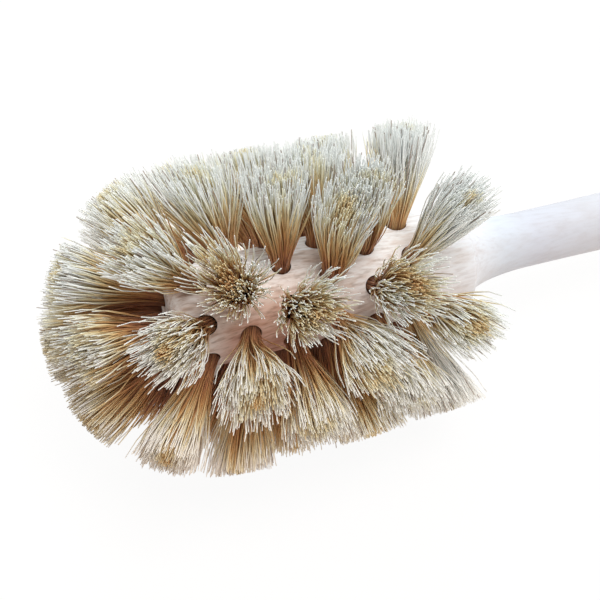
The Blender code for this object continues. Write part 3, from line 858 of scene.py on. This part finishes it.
def beech_finish():
    """Bare turned beech: straight fine grain, short darker flecks, painted shade inside the holes
    and on the lower front, and painted light over the upper back, at the nose and toward the
    neck.
    """
    finish, tree, shader = new_finish("turned beech")
    turned = on_the_brush(tree)

    # The grain runs at a small angle to the turned axis
    with_grain = place(tree, "ShaderNodeMapping", {"vector_type": "POINT"},
                       {"Vector": turned, "Rotation": GRAIN_SLANT}).outputs[0]

    def noise_of(mark):
        """Noise that is drawn out along the grain."""
        length, width, offset, detail = WOOD_MARKS[mark]
        stretched = place(tree, "ShaderNodeMapping", {"vector_type": "POINT"},
                          {"Vector": with_grain, "Location": (offset, 0.0, 0.0),
                           "Scale": (1 / length, 1 / width, 1 / width)}).outputs[0]
        return place(tree, "ShaderNodeTexNoise", {},
                     {"Vector": stretched, "Scale": 1.0, "Detail": detail}).outputs["Fac"]

    fibres = noise_of("fibres")
    clouds = noise_of("clouds")
    bands = noise_of("bands")
    flecks = noise_of("flecks")

    # Painted shade, redder and darker, on the lower front, and painted light, paler, over the
    # upper back
    off = split(tree, turned)
    side = calc(tree, "ADD", to_one_side(tree, off, *WOOD_PAINTED_LIGHT_SIDE, HEAD_RADIUS),
                calc(tree, "MULTIPLY", bands, BANDS_IN_PAINTED_LIGHT))
    ground = ramp(tree, rescaled(tree, side, *WOOD_PAINTED_LIGHT_REACH), WOOD_PAINTED_SHADE_TO_LIGHT)

    # Painted light: paler at the nose and from the last rings to the neck, with a bluish glare at
    # the neck, and beech's own colour again at the grip
    reach = rescaled(tree, off["X"], -NOSE_OVERHANG, BUTT_X)

    def by_place(stops):
        """A ramp over stops that are places along the brush, in metres."""
        whole = BUTT_X + NOSE_OVERHANG
        return ramp(tree, reach, [((x + NOSE_OVERHANG) / whole, colour) for x, colour in stops])

    share = by_place(PAINTED_LIGHT_SHARE)
    light_and_grip_colour = by_place(PAINTED_LIGHT_AND_GRIP_COLOUR)
    grain = by_place(GRAIN_SHARE)
    ground = blended(tree, "MIX", share, ground, light_and_grip_colour)
    for noise, shades in ((fibres, FIBRE_SHADES), (bands, BAND_SHADES), (clouds, CLOUD_SHADES)):
        ground = blended(tree, "MULTIPLY", grain, ground, ramp(tree, noise, shades))
    marks = ramp(tree, flecks, FLECK_SHADES)
    shown = calc(tree, "MULTIPLY", marks, calc(tree, "MULTIPLY", grain, FLECK_STRENGTH))
    ground = blended(tree, "MIX", shown, ground, FLECK_COLOUR)

    # Painted shade inside the holes
    sunk = rescaled(tree, stored(tree, "depth"), *HOLE_PAINTED_SHADE_DEPTHS)
    ground = blended(tree, "MIX", calc(tree, "MULTIPLY", sunk, HOLE_PAINTED_SHADE), ground, HOLE_PAINTED_SHADE_COLOUR)
    tree.links.new(ground, shader.inputs["Base Color"])

    rough = rescaled(tree, fibres, 0.0, 1.0, *WOOD_ROUGHNESS)
    tree.links.new(rough, shader.inputs["Roughness"])
    relief = calc(tree, "ADD", fibres, calc(tree, "MULTIPLY", marks, FLECK_RELIEF))
    bump = place(tree, "ShaderNodeBump", {}, {"Strength": BUMP_STRENGTH,
                                              "Distance": BUMP_DISTANCE, "Height": relief})
    tree.links.new(bump.outputs[0], shader.inputs["Normal"])
    return finish


def bristle_finish():
    """Natural bristle: brown at the root, golden in the middle, cream at the tip, with painted
    shade in the holes, on the lower front and toward the nose, and painted light over the upper
    back.
    """
    finish, tree, shader = new_finish("natural bristle")
    along = stored(tree, "along")
    fading = calc(tree, "MULTIPLY", calc(tree, "POWER", along, FADE_POWER), FADE_SHARE)
    own_shade = calc(tree, "MULTIPLY",
                     calc(tree, "SUBTRACT", stored(tree, "paleness"), USUAL_PALENESS),
                     calc(tree, "SUBTRACT", 1.0, fading))
    shift = calc(tree, "MULTIPLY", calc(tree, "ADD", own_shade, stored(tree, "paler")),
                 PALENESS_SHIFT)
    colour = ramp(tree, calc(tree, "ADD", along, shift), ROOT_TO_TIP)

    # Painted shade where the bristles crowd in the hole, and here and there a dark bristle
    buried_painted_shade = rescaled(tree, along, 0.0, BURIED_END, BURIED_PAINTED_SHADE, 0.0)
    colour = blended(tree, "MIX", buried_painted_shade, colour, BURIED_PAINTED_SHADE_COLOUR)
    dark = calc(tree, "LESS_THAN", stored(tree, "kind"), DARK_SHARE)
    colour = blended(tree, "MULTIPLY", calc(tree, "MULTIPLY", dark, DARK_SHADE), colour,
                     DARK_COLOUR)

    # Painted shade, redder and darker, on the lower front, and cooler painted light over the
    # upper back
    off = split(tree, on_the_brush(tree))
    side = calc(tree, "ADD", to_one_side(tree, off, *BRISTLE_PAINTED_LIGHT_SIDE, TRIM_RADIUS),
                calc(tree, "MULTIPLY_ADD", off["X"], *PAINTED_LIGHT_ALONG))
    side = rescaled(tree, side, *BRISTLE_PAINTED_LIGHT_REACH)
    colour = blended(tree, "MULTIPLY", along, colour, ramp(tree, side, PAINTED_LIGHT_TINT))

    # Painted shade: greyer and darker toward the nose
    ahead = rescaled(tree, off["X"], *NOSE_PAINTED_SHADE_REACH)
    colour = blended(tree, "MULTIPLY", 1.0, colour, ramp(tree, ahead, NOSE_PAINTED_SHADE))
    tree.links.new(colour, shader.inputs["Base Color"])
    shader.inputs["Roughness"].default_value = BRISTLE_ROUGHNESS
    shader.inputs["Specular IOR Level"].default_value = BRISTLE_SHINE
    return finish


# Stage

def camera_axes():
    """The camera's right, up and back directions."""
    recede = math.radians(RECEDE_DEGREES)
    climb = math.radians(CLIMB_DEGREES)
    facing = math.radians(FACING_DEGREES)
    axis = Vector((math.cos(TILT), 0.0, -math.sin(TILT)))
    side_up = Vector((math.sin(TILT), 0.0, math.cos(TILT)))
    toward = math.cos(facing) * Vector((0.0, -1.0, 0.0)) + math.sin(facing) * side_up
    back = math.cos(recede) * toward - math.sin(recede) * axis
    level = (axis + math.sin(recede) * back) / math.cos(recede)
    across = toward.cross(axis)
    right = math.cos(climb) * level - math.sin(climb) * across
    up = math.sin(climb) * level + math.cos(climb) * across
    return right, up, back


def add_camera(right, up, back):
    """A camera that looks at the head as the photograph does."""
    camera = bpy.data.objects.new("camera", bpy.data.cameras.new("camera"))
    bpy.context.scene.collection.objects.link(camera)
    camera.data.lens = CAMERA_LENS
    camera.data.sensor_width = CAMERA_SENSOR
    camera.data.clip_start, camera.data.clip_end = CAMERA_CLIP
    target = LAY @ Vector((TRIM_CENTRE_SETBACK, 0.0, 0.0))
    place_of = target + CAMERA_RIGHT * right + CAMERA_UP * up + CAMERA_DISTANCE * back
    turn = Matrix((right, up, back)).transposed().to_4x4()
    camera.matrix_world = Matrix.Translation(place_of) @ turn
    bpy.context.scene.camera = camera
    return target


def add_lamp(name, target, direction, power, colour):
    """A soft square lamp that shines on the target from this direction."""
    lamp = bpy.data.objects.new(name, bpy.data.lights.new(name, "AREA"))
    bpy.context.scene.collection.objects.link(lamp)
    lamp.data.shape = "SQUARE"
    lamp.data.size = LAMP_SIZE
    lamp.data.energy = power
    lamp.data.color = colour
    lamp.location = target + direction.normalized() * LAMP_DISTANCE
    lamp.rotation_mode = "QUATERNION"
    lamp.rotation_quaternion = direction.to_track_quat("Z", "Y")


def white_seen(tree):
    """One for what is seen, straight, in a reflection or through glass, and none for light."""
    path = tree.nodes.new("ShaderNodeLightPath")
    seen = calc(tree, "MAXIMUM", path.outputs["Is Camera Ray"], path.outputs["Is Glossy Ray"])
    return calc(tree, "MAXIMUM", seen, path.outputs["Is Transmission Ray"])


def add_floor():
    """A white floor that keeps a soft part of the brush's shadow."""
    mesh = bpy.data.meshes.new("floor")
    far = FLOOR_REACH
    mesh.from_pydata([(-far, -far, 0), (far, -far, 0), (far, far, 0), (-far, far, 0)], [],
                     [(0, 1, 2, 3)])
    floor = bpy.data.objects.new("floor", mesh)
    bpy.context.scene.collection.objects.link(floor)
    paint = bpy.data.materials.new("white paper")
    paint.use_nodes = True
    tree = paint.node_tree
    tree.nodes.clear()
    matte = place(tree, "ShaderNodeBsdfDiffuse", {}, {"Color": PAPER_COLOUR})
    glow = place(tree, "ShaderNodeEmission", {}, {"Color": WHITE, "Strength": 1.0})
    where = tree.nodes.new("ShaderNodeTexCoord").outputs["Object"]
    from_shade = place(tree, "ShaderNodeMapping", {"vector_type": "TEXTURE"},
                       {"Vector": where, "Location": SHADE_MIDDLE, "Scale": SHADE_REACH})
    clear = rescaled(tree, measure(tree, "LENGTH", from_shade.outputs[0]), *SHADE_EDGE,
                     0.0, GLOW_SHARE, kind="SMOOTHSTEP")
    seen = calc(tree, "MULTIPLY", white_seen(tree), clear)
    mixed = place(tree, "ShaderNodeMixShader", {}, {0: seen, 1: matte.outputs[0],
                                                    2: glow.outputs[0]})
    place(tree, "ShaderNodeOutputMaterial", {}, {"Surface": mixed.outputs[0]})
    mesh.materials.append(paint)


def light_world():
    """Even, slightly warm light all round, seen as white."""
    world = bpy.data.worlds.new("studio")
    bpy.context.scene.world = world
    world.use_nodes = True
    tree = world.node_tree
    tree.nodes.clear()
    seen = white_seen(tree)
    strength = rescaled(tree, seen, 0.0, 1.0, ROOM_LIGHT, 1.0)
    tint = blended(tree, "MIX", seen, ROOM_COLOUR, WHITE)
    sky = place(tree, "ShaderNodeBackground", {}, {"Color": tint, "Strength": strength})
    place(tree, "ShaderNodeOutputWorld", {}, {"Surface": sky.outputs[0]})


def main():
    right, up, back = camera_axes()
    target = add_camera(right, up, back)
    add_floor()
    light_world()
    for name, (upward, backward, rightward), power, colour in LAMPS:
        direction = upward * up + backward * back + rightward * right
        add_lamp(name, target, direction, power, colour)
    beech = beech_finish()
    bristle = bristle_finish()
    frames = mouth_frames()
    make_body(frames, beech)
    tree = tuft_tree()
    for number, (name, pose) in enumerate(frames):
        make_tuft(name, pose, tree, SEEDS_PER_TUFT * number, bristle)


main()
bpy.context.scene.view_settings.view_transform = "Standard"
